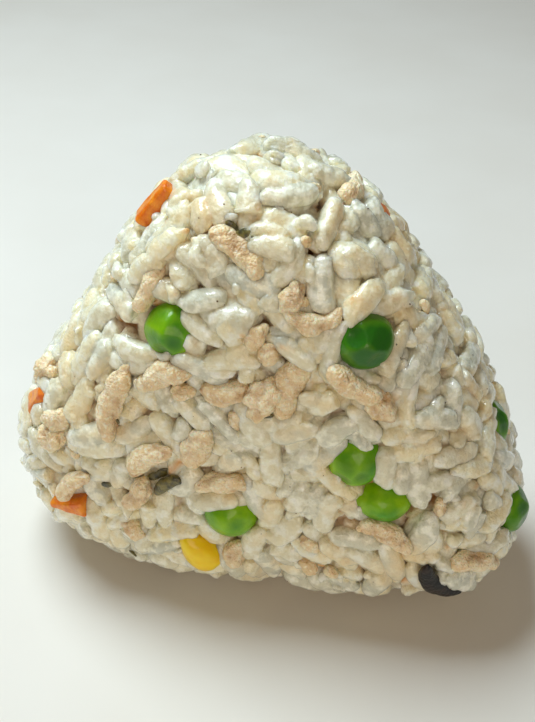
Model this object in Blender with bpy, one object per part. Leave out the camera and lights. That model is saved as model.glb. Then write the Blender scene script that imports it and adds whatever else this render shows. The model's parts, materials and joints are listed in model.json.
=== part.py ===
"""Mixed-rice onigiri: a rounded triangular rice ball that stands on its flattened base, with peas,
sweetcorn, carrot, mince crumbs and mushroom strips pressed into its surface.

Lengths are in millimetres until a mesh is made. +X is to the right as the front face is seen, +Y
points into the ball and +Z up. The origin is under the middle of the ball, on the table.
"""

import math

import bmesh
import bpy
import numpy as np
from mathutils import Matrix, Vector, noise

MM = 0.001

# The rice ball: five planes, blended into one another like pressed rice.
CENTRE_HEIGHT = 30.0
SIDE_SLOPE = 58.5
SIDE_REACH = 35.0
BASE_REACH = 32.0
FACE_REACH = 20.0
FACE_LEAN = 5.0
CORNER_SOFTNESS = 16.0
EDGE_SOFTNESS = 6.8
MOST_REACH = 90.0

# Squares of the ball's surface grid along X, Y and Z, and half its size, which spreads them evenly.
SURFACE_GRID = (21, 10, 19)
HALF_SIZE = (41.0, 20.0, 36.0)

# What lies lower than this is pressed flat against the table.
PRESSED_FLAT = 1.4

# Hand-pressed unevenness: where it lies, how far it stands out and how wide it spreads, in degrees.
SHOULDERS = (
    ((-0.45, 0.10, 0.89), 0.9, 14),
    ((-0.98, -0.15, -0.10), 0.7, 15),
    ((0.96, -0.03, -0.28), 0.3, 14),
    ((0.20, -0.55, -0.80), -1.0, 15),
    ((-0.85, -0.42, -0.31), -0.8, 12),
)

# What the packed grains leave in the surface: round lumps with creases between them, on wide swells.
LUMP_SIZE = 7.0
LUMP_HEIGHT = 2.8
SWELL_SIZE = 13.0
SWELL_HEIGHT = 0.9

# Room between a piece and the rice that holds it, and the size of slivers that cutting may leave.
GAP = 0.35
SLIVER = 0.08

PEA_RADIUS = 4.1
PEA_SEGMENTS = (9, 6)
CRUMB_SEGMENTS = (6, 5)
KERNEL_SEGMENTS = (9, 6)
CARROT_BEVEL = 0.5

# Every piece is given by a point near the surface (x, y, z), from which it is moved straight in or
# out to the surface, and by its turn in degrees, anticlockwise from level as seen from outside.
# Peas: point, turn, squash of its height, and how deep its centre sits under the surface.
PEAS = {
    "pea_1": ((-10.3, -16.0, 52.1), 20, 1.00, 2.2),
    "pea_2": ((15.6, -14.4, 53.1), -20, 1.00, 2.4),
    "pea_3": ((15.9, -18.1, 36.9), 50, 1.00, 2.2),
    "pea_4": ((20.6, -18.5, 29.6), 8, 0.78, 2.2),
    "pea_5": ((-1.7, -19.9, 22.0), 0, 0.95, 2.4),
    "pea_6": ((35.9, 0.5, 32.1), 80, 1.00, 2.6),
    "pea_7": ((39.9, -5.3, 20.5), 75, 1.00, 2.6),
    "pea_8": ((-17.0, 17.0, 40.0), 15, 1.00, 2.4),
    "pea_9": ((8.0, 16.0, 55.0), -50, 0.95, 2.2),
    "pea_10": ((21.0, 18.0, 27.0), 70, 1.00, 2.6),
    "pea_11": ((-24.0, 18.0, 19.0), -10, 0.90, 2.2),
}

# Mince crumbs: point, turn, (length, width), bend of the axis, number of lumps and depth.
CRUMBS = {
    "crumb_1": ((-2.4, -12.7, 63.9), -30, (9.6, 4.4), 0.5, 3, 0.3),
    "crumb_2": ((-14.6, -12.7, 57.0), 80, (9.4, 3.6), -0.2, 2, 0.2),
    "crumb_3": ((-18.4, -17.3, 39.1), 75, (13.6, 4.2), 0.6, 3, 0.3),
    "crumb_4": ((-11.6, -17.1, 44.5), 27, (8.8, 4.0), 0.6, 3, 0.4),
    "crumb_5": ((-2.8, -17.8, 44.4), 13, (7.4, 4.0), -0.5, 3, 0.4),
    "crumb_6": ((6.6, -17.2, 46.6), 79, (10.2, 4.8), 0.5, 2, 0.4),
    "crumb_7": ((8.6, -14.8, 56.6), 2, (7.8, 3.6), -1.2, 3, 0.2),
    "crumb_8": ((13.9, -16.2, 47.4), -30, (8.8, 3.8), -0.4, 2, 0.3),
    "crumb_9": ((-12.6, -19.0, 31.2), 42, (9.0, 4.4), 0.6, 3, 0.5),
    "crumb_10": ((-6.0, -19.0, 34.6), 72, (6.8, 4.6), 0.3, 2, 0.4),
    "crumb_11": ((-15.3, -19.4, 24.0), 60, (7.2, 3.6), -0.4, 2, 0.3),
    "crumb_12": ((-3.0, -19.5, 28.4), 14, (8.6, 4.0), 0.3, 3, 0.5),
    "crumb_13": ((-26.1, -18.3, 21.8), 54, (8.2, 3.8), 0.3, 2, 0.3),
    "crumb_14": ((21.2, -18.9, 23.4), -27, (9.2, 4.2), 0.7, 3, 0.4),
    "crumb_15": ((34.4, -14.3, 16.8), -27, (9.6, 4.4), 0.8, 3, 0.4),
    "crumb_16": ((10.4, 1.5, 67.3), 170, (8.0, 3.8), 0.4, 2, 0.3),
    "crumb_17": ((-3.0, 18.0, 45.0), 60, (9.0, 4.4), 0.5, 3, 0.4),
    "crumb_18": ((14.0, 18.0, 41.0), -20, (10.2, 4.2), -0.6, 3, 0.3),
    "crumb_19": ((7.0, 19.0, 17.0), 5, (9.2, 4.0), 0.8, 3, 0.4),
    "crumb_20": ((-31.0, 13.0, 30.0), 100, (8.6, 4.0), 0.4, 2, 0.4),
}

# Mushroom strips, given as the crumbs are.
MUSHROOMS = {
    "mushroom_1": ((29.2, -17.2, 14.6), -50, (9.6, 3.6), -1.2, 2, 0.1),
    "mushroom_2": ((-10.8, -19.4, 26.7), 40, (5.4, 2.6), 0.4, 2, -0.2),
    "mushroom_3": ((-8.0, 19.0, 13.0), -15, (9.0, 3.6), 1.0, 2, 0.1),
}

# Carrot dice: point, turn, (length, width, thickness), how far the far end tapers, and depth.
CARROTS = {
    "carrot_1": ((-15.3, -4.0, 62.9), 62, (9.2, 4.2, 3.4), 0.25, 0.7),
    "carrot_2": ((-33.7, -11.1, 32.0), 58, (5.8, 4.0, 3.4), 0.55, 0.8),
    "carrot_3": ((-26.9, -18.2, 15.6), 12, (7.4, 3.8, 3.4), -0.60, 0.8),
    "carrot_4": ((16.6, 2.6, 61.0), -52, (5.6, 3.8, 3.4), 0.30, 0.8),
    "carrot_5": ((-8.0, 17.0, 55.0), 35, (7.0, 5.2, 3.6), 0.20, 0.9),
    "carrot_6": ((27.0, 15.0, 37.0), -25, (8.0, 4.6, 3.6), 0.35, 0.9),
}

# Sweetcorn kernels: point, turn of the crown end, (length, width, thickness) and depth.
KERNELS = {
    "corn_1": ((-5.8, -19.8, 14.3), -55, (9.0, 6.6, 5.2), 1.2),
    "corn_2": ((2.6, 19.0, 31.0), 126, (9.0, 7.0, 5.2), 1.4),
}

COLOURS = {
    "rice": ((0.62, 0.55, 0.38), 0.45),
    "pea": ((0.09, 0.27, 0.02), 0.25),
    "mince": ((0.58, 0.38, 0.20), 0.70),
    "mushroom": ((0.035, 0.022, 0.015), 0.35),
    "carrot": ((0.74, 0.20, 0.02), 0.40),
    "corn": ((0.80, 0.50, 0.01), 0.25),
}

CENTRE = np.array((0.0, 0.0, CENTRE_HEIGHT))


def clear_scene():
    for obj in list(bpy.data.objects):
        bpy.data.objects.remove(obj)


def material(name):
    """The shared Principled material of one kind of piece."""
    found = bpy.data.materials.get(name)
    if found:
        return found
    colour, roughness = COLOURS[name]
    made = bpy.data.materials.new(name)
    made.use_nodes = True
    shader = made.node_tree.nodes["Principled BSDF"]
    shader.inputs["Base Color"].default_value = (*colour, 1.0)
    shader.inputs["Roughness"].default_value = roughness
    shader.inputs["Metallic"].default_value = 0.0
    made.diffuse_color = (*colour, 1.0)
    return made


# ------------------------------------------------------------------ the rice ball


def smooth_max(values, softness):
    """The largest of several fields, rounded where two or more come close."""
    values = np.asarray(values)
    top = values.max(axis=0)
    return top + softness * np.log(np.exp((values - top) / softness).sum(axis=0))


def ball_field(points):
    """Below 0 inside the smooth rice ball, above 0 outside it; points is an array of rows."""
    x, y, z = (points - CENTRE).T
    slope, lean = math.radians(SIDE_SLOPE), math.radians(FACE_LEAN)
    outline = smooth_max(
        [
            x * math.sin(slope) + z * math.cos(slope) - SIDE_REACH,
            -x * math.sin(slope) + z * math.cos(slope) - SIDE_REACH,
            -z - BASE_REACH,
        ],
        CORNER_SOFTNESS,
    )
    front = -y * math.cos(lean) + z * math.sin(lean) - FACE_REACH
    back = y * math.cos(lean) + z * math.sin(lean) - FACE_REACH
    return smooth_max([outline, front, back], EDGE_SOFTNESS)


def reach_along(directions):
    """How far the smooth surface lies from the centre along each direction, by bisection."""
    near, far = np.zeros(len(directions)), np.full(len(directions), MOST_REACH)
    for _ in range(30):
        middle = (near + far) / 2
        inside = ball_field(CENTRE + directions * middle[:, None]) < 0
        near, far = np.where(inside, middle, near), np.where(inside, far, middle)
    return near


def unevenness(directions):
    """The pressed-in shoulders and hollows along each direction."""
    total = np.zeros(len(directions))
    for toward, height, spread in SHOULDERS:
        toward = np.array(toward) / np.linalg.norm(toward)
        angle = np.degrees(np.arccos(np.clip(directions @ toward, -1, 1)))
        total += height * np.exp(-((angle / spread) ** 2) / 2)
    return total


def rice_relief(points):
    """How far the packed grains stand out or in at each point."""
    heights = []
    for point in points:
        nearest = noise.voronoi(Vector(point) / LUMP_SIZE)[0][0]
        swell = noise.noise(Vector(point) / SWELL_SIZE)
        heights.append(LUMP_HEIGHT * (0.5 - nearest) + SWELL_HEIGHT * swell)
    return np.array(heights)


def on_surface(points):
    """Moves each point straight in or out, as seen from the centre, onto the uneven surface."""
    arms = np.atleast_2d(points) - CENTRE
    directions = arms / np.linalg.norm(arms, axis=1)[:, None]
    pressed = CENTRE + directions * (reach_along(directions) + unevenness(directions))[:, None]
    return pressed + directions * rice_relief(pressed)[:, None]


def surface_frame(point):
    """(place on the surface, level direction, upward direction, outward direction) at a point."""
    place = on_surface(point)[0]
    step = 0.05
    slopes = [ball_field((place + step * axis)[None])[0] for axis in np.eye(3)]
    outward = Vector(np.array(slopes) - ball_field(place[None])[0]).normalized()
    level = Vector((0, 0, 1)).cross(outward).normalized()
    return Vector(place), level, outward.cross(level), outward


def box_grid(counts):
    """A closed box from -1 to 1 with counts squares along X, Y and Z on its faces."""
    mesh = bmesh.new()
    for axis in range(3):
        for side in (-1, 1):
            across, along = ((axis + 1) % 3, (axis + 2) % 3)[::side]
            columns = [Vector([float(i == k) for i in range(3)]) for k in (across, along, axis)]
            columns[2] *= side
            turn = Matrix(columns).transposed().to_4x4()
            bmesh.ops.create_grid(
                mesh,
                x_segments=counts[across],
                y_segments=counts[along],
                size=1.0,
                matrix=turn @ Matrix.Translation((0, 0, 1)),
            )
    bmesh.ops.remove_doubles(mesh, verts=mesh.verts, dist=1e-4)
    return mesh


def rice_ball():
    """The one solid of rice, uneven all over and flat where it stands."""
    mesh = box_grid(SURFACE_GRID)
    directions = np.array([vertex.co for vertex in mesh.verts]) * HALF_SIZE
    directions /= np.linalg.norm(directions, axis=1)[:, None]
    points = on_surface(CENTRE + directions)
    points[points[:, 2] < PRESSED_FLAT, 2] = 0.0
    for vertex, point in zip(mesh.verts, points):
        vertex.co = point
    return add_object("rice_ball", mesh, "rice", Matrix.Identity(4))


# ------------------------------------------------------------------ the pieces in it


def add_object(name, mesh, kind, place):
    """Makes an object from a bmesh in millimetres, set at place, and frees the bmesh."""
    bmesh.ops.recalc_face_normals(mesh, faces=mesh.faces)
    data = bpy.data.meshes.new(name)
    mesh.to_mesh(data)
    mesh.free()
    data.transform(Matrix.Scale(MM, 4))
    data.shade_smooth()
    data.materials.append(material(kind))
    obj = bpy.data.objects.new(name, data)
    obj.matrix_world = Matrix.Translation(place.translation * MM) @ place.to_3x3().to_4x4()
    bpy.context.scene.collection.objects.link(obj)
    return obj


def seat(point, turn, depth):
    """The placing of a piece: its X runs along its length and its Z straight out of the rice."""
    place, level, up, outward = surface_frame(point)
    angle = math.radians(turn)
    along = level * math.cos(angle) + up * math.sin(angle)
    across = outward.cross(along)
    made = Matrix((along, across, outward)).transposed().to_4x4()
    made.translation = place - outward * depth
    return made


def grown(mesh, amount):
    """A copy of a bmesh with every point moved out along its normal."""
    copy = mesh.copy()
    bmesh.ops.recalc_face_normals(copy, faces=copy.faces)
    copy.normal_update()
    moved = [vertex.co + vertex.normal * amount for vertex in copy.verts]
    for vertex, place in zip(copy.verts, moved):
        vertex.co = place
    return copy


def press_in(name, mesh, kind, place, pockets):
    """Adds a piece, and the slightly larger cutter that makes its pocket in the rice."""
    cutter = add_object(f"pocket_{name}", grown(mesh, GAP), kind, place)
    cutter.hide_render = True
    cutter.display_type = "WIRE"
    bpy.context.scene.collection.objects.unlink(cutter)
    pockets.objects.link(cutter)
    return add_object(name, mesh, kind, place)


def round_mesh(segments):
    """A unit sphere with its poles at +X and -X."""
    mesh = bmesh.new()
    around, along = segments
    turn = Matrix.Rotation(math.pi / 2, 4, "Y")
    bmesh.ops.create_uvsphere(mesh, u_segments=around, v_segments=along, radius=1.0, matrix=turn)
    return mesh


def pea_mesh(squash):
    """A cooked pea: a ball, a little flat, with the shallow dimple that its skin dries into."""
    mesh = round_mesh(PEA_SEGMENTS)
    dimple = Vector((0.3, 0.25, 0.92)).normalized()
    for vertex in mesh.verts:
        closeness = max(0.0, vertex.co.normalized().dot(dimple))
        vertex.co *= PEA_RADIUS * (1 - 0.10 * closeness**6)
        vertex.co.y *= squash
        vertex.co.z *= 0.95
    return mesh


def lumpy_mesh(size, bend, lumps, thickness, seed):
    """A roll of food with blunt ends: lumps along its length and a bent axis, flat by thickness."""
    length, width = size
    mesh = round_mesh(CRUMB_SEGMENTS)
    for vertex in mesh.verts:
        along = vertex.co.x
        swell = 1 + 0.16 * math.cos(math.pi * lumps * along + seed)
        swell += 0.22 * noise.noise(vertex.co * 1.3 + Vector((seed * 5.3, 0, 0)))
        blunt = min(1.25, 1 / math.sqrt(math.sqrt(max(0, 1 - along**2)) + 0.25))
        side = swell * blunt * width / 2
        vertex.co.x = along * length / 2
        vertex.co.y = vertex.co.y * side + bend * (1 - 2 * along**2)
        vertex.co.z *= side * thickness
    return mesh


def carrot_mesh(size, taper):
    """A knife-cut die of carrot, narrower at one end, with its edges softened by cooking."""
    mesh = bmesh.new()
    bmesh.ops.create_cube(mesh, size=1.0)
    for vertex in mesh.verts:
        toward_narrow_end = 0.5 + math.copysign(vertex.co.x, vertex.co.x * taper)
        vertex.co.y *= 1 - abs(taper) * toward_narrow_end
        vertex.co = Vector([c * s for c, s in zip(vertex.co, size)])
    bmesh.ops.bevel(
        mesh,
        geom=list(mesh.edges),
        offset=CARROT_BEVEL,
        segments=1,
        affect="EDGES",
    )
    return mesh


def kernel_mesh(size):
    """A sweetcorn kernel: a broad dented crown at +X that narrows to the tip."""
    mesh = round_mesh(KERNEL_SEGMENTS)
    length, width, thickness = size
    for vertex in mesh.verts:
        along = vertex.co.x
        dent = 0.16 * max(0.0, along) ** 8
        vertex.co.x = (along - dent) * length / 2
        vertex.co.y *= (0.90 + 0.29 * along - 0.11 * along**2) * width / 2
        vertex.co.z *= (0.92 + 0.10 * along) * thickness / 2
    return mesh


def add_pieces(pockets):
    """Presses every pea, crumb, mushroom, carrot and kernel into the rice."""
    for name, (point, turn, squash, depth) in PEAS.items():
        press_in(name, pea_mesh(squash), "pea", seat(point, turn, depth), pockets)
    for kind, pieces, thickness in (("mince", CRUMBS, 0.9), ("mushroom", MUSHROOMS, 0.6)):
        for seed, (name, (point, turn, size, bend, lumps, depth)) in enumerate(pieces.items()):
            mesh = lumpy_mesh(size, bend, lumps, thickness, seed)
            press_in(name, mesh, kind, seat(point, turn, depth), pockets)
    for name, (point, turn, size, taper, depth) in CARROTS.items():
        press_in(name, carrot_mesh(size, taper), "carrot", seat(point, turn, depth), pockets)
    for name, (point, turn, size, depth) in KERNELS.items():
        press_in(name, kernel_mesh(size), "corn", seat(point, turn, depth), pockets)


def main():
    clear_scene()
    pockets = bpy.data.collections.new("pockets")
    bpy.context.scene.collection.children.link(pockets)
    pockets.hide_render = True
    ball = rice_ball()
    add_pieces(pockets)
    cut = ball.modifiers.new("pockets", "BOOLEAN")
    cut.operation = "DIFFERENCE"
    cut.operand_type = "COLLECTION"
    cut.collection = pockets
    cut.solver = "EXACT"
    tidy = ball.modifiers.new("slivers", "WELD")
    tidy.merge_threshold = SLIVER * MM


main()
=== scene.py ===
"""Mixed-rice onigiri, dressed: cooked grains over a smaller core, peas, sweetcorn, carrot, mince
crumbs, mushroom and small flecks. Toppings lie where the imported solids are, but for small nudges.

Lengths are in millimetres until a mesh is made. +X is to the right as the front face is seen, +Y
points into the ball and +Z up.
"""

import json
import math

import bmesh
import bpy
import numpy as np
from mathutils import Matrix, Vector, noise
from mathutils.bvhtree import BVHTree
from mathutils.kdtree import KDTree

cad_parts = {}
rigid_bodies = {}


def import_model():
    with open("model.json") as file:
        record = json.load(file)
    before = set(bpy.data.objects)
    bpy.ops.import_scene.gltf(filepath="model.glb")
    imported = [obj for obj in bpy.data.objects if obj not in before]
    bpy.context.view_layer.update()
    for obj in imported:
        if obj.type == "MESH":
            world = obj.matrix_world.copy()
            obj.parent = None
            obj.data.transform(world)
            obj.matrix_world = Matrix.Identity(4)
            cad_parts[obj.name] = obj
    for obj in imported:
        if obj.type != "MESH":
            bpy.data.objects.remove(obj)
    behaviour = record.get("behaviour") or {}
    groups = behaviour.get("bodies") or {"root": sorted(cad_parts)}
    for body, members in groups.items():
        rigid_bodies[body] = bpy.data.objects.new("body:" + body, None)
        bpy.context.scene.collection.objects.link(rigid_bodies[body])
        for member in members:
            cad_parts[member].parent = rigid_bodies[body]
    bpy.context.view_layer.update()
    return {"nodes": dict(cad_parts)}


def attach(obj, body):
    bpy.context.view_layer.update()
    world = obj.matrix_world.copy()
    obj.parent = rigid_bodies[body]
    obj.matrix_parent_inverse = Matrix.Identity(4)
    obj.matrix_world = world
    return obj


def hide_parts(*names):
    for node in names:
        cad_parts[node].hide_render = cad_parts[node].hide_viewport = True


MM = 0.001
SEED = 20

# The ball's smooth surface, as the solid has it: five planes blended into one another.
CENTRE = np.array((0.0, 0.0, 30.0))
SIDE_SLOPE = math.radians(58.5)
SIDE_REACH = 35.0
BASE_REACH = 32.0
FACE_REACH = 20.0
FACE_LEAN = math.radians(5.0)
CORNER_SOFTNESS = 16.0
EDGE_SOFTNESS = 6.8
MOST_REACH = 90.0
HALF_SIZE = np.array((41.0, 20.0, 36.0))
SHOULDERS = (
    ((-0.45, 0.10, 0.89), 0.9, 14),
    ((-0.98, -0.15, -0.10), 0.7, 15),
    ((0.96, -0.03, -0.28), 0.3, 14),
    ((0.20, -0.55, -0.80), -1.0, 15),
    ((-0.85, -0.42, -0.31), -0.8, 12),
)

# Cooked short-grain rice: the skin of grains that shows, and the pressed bed under it, where the
# grains have run together.
GRAIN_LENGTH = 8.2
GRAIN_WIDTH = 3.6
GRAIN_THICKNESS = 2.9
TOP_GRAINS = 960
BED_GRAINS = 560
TOP_DEPTHS = (0.7, 2.4)
BED_DEPTHS = (2.5, 3.4)
CORE_DEPTH = 2.7

# Loose bits between the grains: how many, their length and depth, and how far apart they keep.
RICE_BITS = 280
BIT_LENGTHS = (1.4, 3.8)
BIT_DEPTHS = (0.4, 1.9)
BIT_SPACING = 2.0

# The paste that fills the creases follows the top grains, this much wider and deeper.
PASTE_SPREAD = 1.15
PASTE_DEPTH = 1.55

# Grains on the front that have a place of their own: the middle's x and z, the turn in degrees
# anticlockwise from level as seen from outside, the length and the width.
PLACED_GRAINS = (
    (20.5, 53.5, -45, 7.5, 3.6),
    (-2.5, 55.0, 5, 8.2, 4.8),
    (8.5, 66.0, 40, 8.0, 3.8),
    (13.5, 64.5, 80, 8.0, 4.2),
    (11.5, 62.0, -70, 6.4, 4.0),
    (17.5, 60.0, 75, 6.0, 3.4),
    (9.0, 60.0, 90, 8.2, 3.8),
    (12.5, 58.5, 85, 7.0, 3.4),
    (4.5, 62.5, 60, 7.8, 3.3),
    (0.0, 60.0, -15, 8.0, 3.7),
    (1.5, 65.5, -20, 6.0, 3.3),
    (1.5, 70.0, -10, 7.2, 3.8),
    (7.0, 69.5, -60, 7.0, 3.6),
    (4.0, 55.5, -45, 5.5, 2.8),
    (8.5, 52.0, -65, 5.0, 3.0),
    (-2.0, 48.5, 10, 8.2, 3.6),
    (5.5, 40.5, 15, 8.2, 3.4),
    (-1.0, 33.5, -20, 8.2, 3.2),
    (4.5, 33.0, -80, 9.0, 3.5),
    (2.0, 26.5, -70, 8.6, 3.3),
    (-18.0, 27.0, 70, 8.8, 3.4),
    (-25.5, 31.0, 80, 7.6, 3.6),
    (2.0, 17.0, 75, 8.2, 3.8),
    (-13.0, 12.0, 30, 8.4, 3.0),
    (24.0, 37.5, 10, 8.0, 3.0),
    (22.0, 44.0, 80, 7.4, 3.2),
    (25.5, 41.0, 70, 6.6, 3.2),
    (31.0, 27.0, 15, 7.6, 3.3),
    (27.0, 32.0, 0, 7.6, 3.2),
    (36.0, 22.5, 75, 7.6, 3.2),
    (17.0, 21.0, -5, 8.2, 3.6),
    (13.0, 31.5, -40, 7.6, 3.4),
)
# The same for grains that lie partly over a pea or another topping.
GRAINS_OVER = (
    (14.5, 58.0, 40, 7.6, 3.7),
    (-3.5, 25.0, 20, 7.0, 3.2),
    (13.0, 40.5, 35, 6.8, 3.3),
    (16.5, 42.0, -50, 6.4, 2.9),
    (33.0, 13.5, -40, 7.4, 3.3),
    (-12.5, 62.0, 60, 7.0, 3.4),
    (-15.0, 58.5, 50, 6.6, 3.2),
    (13.0, 62.5, -55, 6.0, 3.0),
)
PLACED_DEPTH = 0.9
OVER_DEPTH = 0.25
PLACED_THICKNESS = 0.82

# How some toppings differ from their solids: their scale, how far they lie from them, and their
# turn in degrees anticlockwise as seen from outside.
NUDGES = {
    "pea_1": (1.0, (-1.0, 0.0, -0.8), 0),
    "pea_3": (1.0, (0.2, -0.4, -1.8), 0),
    "pea_4": (1.0, (0.3, -0.3, -1.4), 0),
    "corn_1": (1.0, (-0.8, -0.2, -1.0), 0),
    "carrot_1": (0.74, (-0.6, 0.6, 0.0), 30),
    "carrot_3": (0.85, (-1.2, 0.2, 1.0), 0),
    "carrot_4": (0.62, (-2.2, -1.6, 3.2), 0),
}

# Small crumbs of mince on the front: x, z, turn and length, as above.
SMALL_CRUMBS = (
    (-9.0, 43.0, 10, 3.4),
    (-1.0, 40.0, 90, 3.4),
    (1.0, 53.0, 55, 4.6),
    (3.0, 51.0, 65, 4.4),
    (2.5, 44.0, 65, 6.8),
    (5.5, 59.0, 60, 4.8),
    (18.5, 44.0, -70, 5.6),
    (-30.0, 28.5, 35, 6.0),
    (-29.0, 32.0, 40, 5.4),
    (-1.0, 14.0, 90, 5.2),
    (-17.0, 15.5, -40, 4.6),
    (28.5, 28.0, 90, 3.0),
    (10.5, 19.5, -30, 3.8),
    (10.5, 14.5, -55, 4.4),
    (-32.5, 36.0, 65, 6.4),
)
CRUMB_DEPTH = 0.4
CRUMB_BALL = 0.36
TINY_CRUMBS = 60
TINY_LENGTHS = (1.1, 2.8)

# Leaf flecks on the front, given as the crumbs are, and how many more lie on the back.
LEAF_FLECKS = (
    (-2.0, 66.0, 15, 3.2),
    (-3.5, 66.5, -35, 2.2),
    (-20.5, 23.5, 0, 1.8),
    (-18.0, 8.0, -20, 3.4),
    (-12.5, 27.5, 30, 2.6),
    (3.5, 41.5, 35, 1.6),
    (-18.5, 36.0, 60, 1.4),
)
MORE_FLECKS = 12
BACK_STARTS = 4.0
FLECK_LENGTHS = (1.0, 2.4)
FLECK_THICKNESS = 0.36

# Crumbs of sweetcorn, given as the crumbs of mince are, and how deep they lie.
YELLOW_BITS = ((5.0, 69.0, 0, 1.3), (10.5, 66.0, 20, 1.5))
YELLOW_DEPTH = 0.9

# Specks of pepper: how many, and the range of half their length.
SPECKS = 170
SPECK_SIZES = (0.07, 0.17)

# Shares of the top grains that are whole, burst and broken.
GRAIN_SHARES = (0.54, 0.32, 0.14)

# Rings along a grain and points around it, for the grains on top, for the bed and for bits.
TOP_RINGS = (22, 18)
BED_RINGS = (11, 12)
BIT_RINGS = (10, 10)

# The rice is one solid for each side of the ball, so that no mesh grows too large. A grain goes
# with the front or the back where the surface leans more than this to it. The core is split at
# these planes.
FACE_ZONE = 0.6
ZONE_REACH = 90.0
FACE_PLANE = 10.0

# Where the spheres that stand for a grain lie along its half length, and how wide they are.
SPHERE_PLACES = np.array((-0.72, -0.26, 0.26, 0.72))
SPHERE_SIZES = np.array((0.40, 0.47, 0.47, 0.40))

# How the grains settle: the steps, how close grains come to one another and to a topping as a
# share of their radii, the share of each push that is followed, how much of a grain may stand
# proud of the ball, how strongly it is drawn to its own depth, and the most it leans outwards.
SETTLING_STEPS = 90
PRESSED_OVERLAP = 0.90
TOPPING_GRIP = 0.45
STEP_SHARE = 0.45
PROUD_SHARE = 0.62
DEPTH_PULL = 0.25
MOST_LEAN = 0.3
LEAN_PULL = 0.3

# Grains end this high over the table, and ease off over that stretch from this height down.
TABLE_GAP = 0.02
EASE_OVER = 0.33
EASE_FROM = 0.35

# Halvings that find where a line meets the surface.
HALVINGS = 26

# How many bowls have sunk into each pea's skin, and the share of their usual depth in the peas
# that stayed smoother.
PEA_BOWLS = 5
PEA_DEPTHS = {"pea_4": 0.35, "pea_5": 0.5}
# How much darker than usual some peas are, of 1.
PEA_SHADES = {"pea_2": 0.7, "pea_6": 0.4, "pea_7": 0.5}
# The room kept clear over each pea: how far out it lies and how wide it is, of the pea's radius.
KEPT_CLEAR = (0.9, 0.85)


# ------------------------------------------------------------------ small helpers


def to_linear(colour):
    """An sRGB hex value as linear red, green, blue and alpha 1."""
    parts = [int(colour[i : i + 2], 16) / 255 for i in (1, 3, 5)]
    return (*[c / 12.92 if c <= 0.04045 else ((c + 0.055) / 1.055) ** 2.4 for c in parts], 1.0)


def unit(vectors):
    return vectors / np.linalg.norm(vectors, axis=-1, keepdims=True)


def smooth_max(values, softness):
    """The largest of several fields, rounded where two or more come close."""
    values = np.asarray(values)
    top = values.max(axis=0)
    return top + softness * np.log(np.exp((values - top) / softness).sum(axis=0))


def shoulders(directions):
    """The pressed-in shoulders and hollows along each direction from the centre."""
    total = np.zeros(len(directions))
    for toward, height, spread in SHOULDERS:
        angle = np.degrees(np.arccos(np.clip(directions @ unit(np.array(toward)), -1, 1)))
        total += height * np.exp(-((angle / spread) ** 2) / 2)
    return total


def outside(points):
    """How far each point, a row of the array, lies outside the ball; inside it is below 0."""
    arms = points - CENTRE
    x, y, z = arms.T
    outline = smooth_max(
        [
            x * math.sin(SIDE_SLOPE) + z * math.cos(SIDE_SLOPE) - SIDE_REACH,
            -x * math.sin(SIDE_SLOPE) + z * math.cos(SIDE_SLOPE) - SIDE_REACH,
            -z - BASE_REACH,
        ],
        CORNER_SOFTNESS,
    )
    front = -y * math.cos(FACE_LEAN) + z * math.sin(FACE_LEAN) - FACE_REACH
    back = y * math.cos(FACE_LEAN) + z * math.sin(FACE_LEAN) - FACE_REACH
    return smooth_max([outline, front, back], EDGE_SOFTNESS) - shoulders(unit(arms))


def outward(points):
    """The unit direction straight out of the ball at each point."""
    step = 0.1
    here = outside(points)
    slopes = [outside(points + step * axis) - here for axis in np.eye(3)]
    return unit(np.stack(slopes, axis=-1))


def reach_along(directions, depth):
    """How far from the centre the layer at that depth lies along each direction, by bisection."""
    near, far = np.zeros(len(directions)), np.full(len(directions), MOST_REACH)
    for _ in range(HALVINGS):
        middle = (near + far) / 2
        inside = outside(CENTRE + directions * middle[:, None]) < -depth
        near, far = np.where(inside, middle, near), np.where(inside, far, middle)
    return near


def wobble(places, rng, size, waves=6):
    """Smooth random values about 0 for each group of points (groups x points x 3), as lumps of
    that size; each group gets values of its own."""
    total = np.zeros(places.shape[:2])
    for _ in range(waves):
        pace = 2 * math.pi / size * rng.uniform(0.7, 1.4, (len(places), 1, 1))
        heading = unit(rng.normal(size=(len(places), 1, 3))) * pace
        start = rng.uniform(0, 2 * math.pi, (len(places), 1))
        total += np.sin((places * heading).sum(axis=-1) + start)
    return total / math.sqrt(waves / 2)


def new_object(name, data):
    """An object of the scene that holds that data."""
    made = bpy.data.objects.new(name, data)
    bpy.context.scene.collection.objects.link(made)
    return made


def to_data(mesh, name):
    """A bmesh as a mesh of that name; the bmesh is freed."""
    data = bpy.data.meshes.new(name)
    mesh.to_mesh(data)
    mesh.free()
    return data


def add_piece(name, mesh_data, material, slot, *nodes):
    """Makes a piece of the onigiri from a mesh in metres and hides the solids it stands for."""
    mesh_data.name = name
    mesh_data.shade_smooth()
    mesh_data.materials.clear()
    mesh_data.materials.append(material)
    piece = new_object(name, mesh_data)
    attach(piece, "root")
    if nodes:
        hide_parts(*nodes)


def store(mesh_data, name, values):
    """Keeps a value for each point of a mesh, which its material reads."""
    layer = mesh_data.attributes.new(name, "FLOAT", "POINT")
    layer.data.foreach_set("value", np.ravel(values).astype(np.float32))


# ------------------------------------------------------------------ camera, floor and light

CAMERA_TARGET = Vector((-0.6, 0.9, 36.2))
CAMERA_TURN = math.radians(11.3)
CAMERA_ELEVATION = math.radians(37.4)
CAMERA_ROLL = math.radians(1.6)
CAMERA_DISTANCE = 166.3
CAMERA_LENS = 53.85
FLOOR_SIZE = 12000.0

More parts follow.
